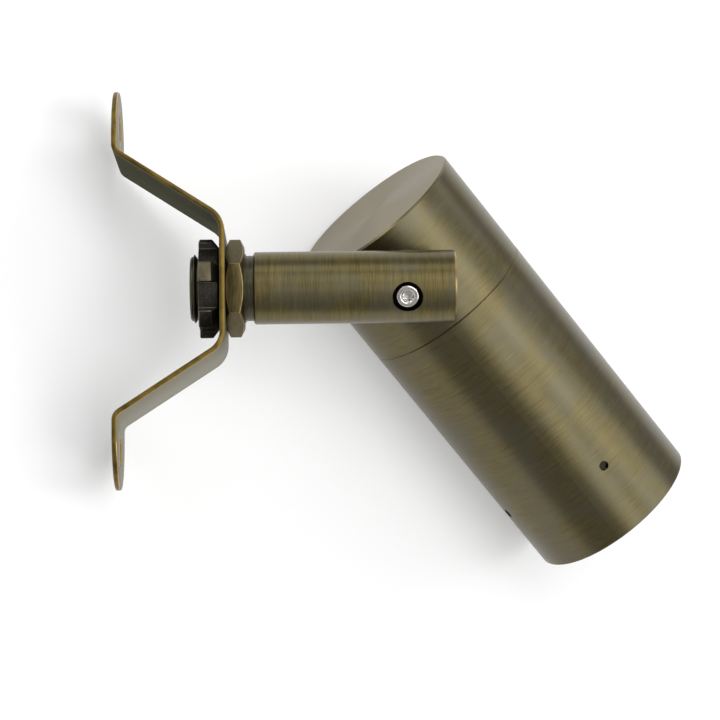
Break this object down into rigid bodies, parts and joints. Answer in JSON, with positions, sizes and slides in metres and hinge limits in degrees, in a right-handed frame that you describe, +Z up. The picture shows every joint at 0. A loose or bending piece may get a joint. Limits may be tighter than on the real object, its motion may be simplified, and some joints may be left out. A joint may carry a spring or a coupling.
{
  "type": "landscape down light",
  "caption": "Cylindrical shrouded spotlight on a turned arm that swivels in a hat-shaped strap bracket and tilts on a hollow screwed knuckle.",
  "frame": {"origin": "on the wall plane behind the bracket's tabs, halfway between the two screw slots, on the axis of the stem and arm", "axes": "+X away from the wall along the arm, +Z up along the strap, +Y across the strap, towards the side where the head hangs at rest"},
  "size_m": [0.1807, 0.1219, 0.1428],
  "materials": {
    "antique_brass": "antique bronze patina, fine brushing round the axis",
    "bracket_brass": "antique bronze patina with golden worn edges",
    "nut_brass": "antique bronze patina with golden worn edges",
    "black_iron": "satin black",
    "stainless": "bright",
    "black_rubber": "matte",
    "black_nylon": "matte",
    "lead_insulation": "satin",
    "white_ceramic": "matte",
    "reflector_mirror": "faceted coated glass",
    "clear_glass": "clear"
  },
  "bodies": {
    "bracket": {"mounting_bracket": "bracket_brass"},
    "swivel_arm": {"threaded_stem": "antique_brass", "arm": "antique_brass", "hex_nut": "nut_brass", "locknut": "black_iron", "cord_grommet": "black_rubber", "friction_washer": "black_nylon", "arm_leads": "lead_insulation"},
    "head": {"rear_housing": "antique_brass", "pivot_screw": "stainless", "split_washer": "stainless", "pivot_seal": "black_rubber", "seam_seal": "black_rubber", "holder_plate": "stainless", "plate_screws": "stainless", "lamp_holder": "white_ceramic", "holder_rivets": "stainless", "head_leads": "lead_insulation"},
    "lamp": {"lamp_base": "white_ceramic", "lamp_pins": "stainless", "lamp_reflector": "reflector_mirror", "lamp_capsule": "clear_glass", "lamp_cover": "clear_glass"},
    "front_shell": {"barrel": "antique_brass", "lens": "clear_glass", "lens_gasket": "black_rubber", "snap_ring": "stainless"}
  },
  "joints": [
    {"name": "arm_swivel", "type": "hinge", "parent": "bracket", "child": "swivel_arm", "pos_m": [0.034, 0, 0], "axis": [1, 0, 0], "range_deg": [-180, 180]},
    {"name": "head_tilt", "type": "hinge", "parent": "swivel_arm", "child": "head", "pos_m": [0.0892, 0, 0], "axis": [0, 0.891, 0.454], "range_deg": [-162, 57]},
    {"name": "barrel_off", "type": "slide", "parent": "head", "child": "front_shell", "axis": [0.6074, 0.3607, -0.7078], "range_m": [0, 0.08]},
    {"name": "lamp_pull", "type": "slide", "parent": "head", "child": "lamp", "axis": [0.6074, 0.3607, -0.7078], "range_m": [0, 0.012]}
  ]
}
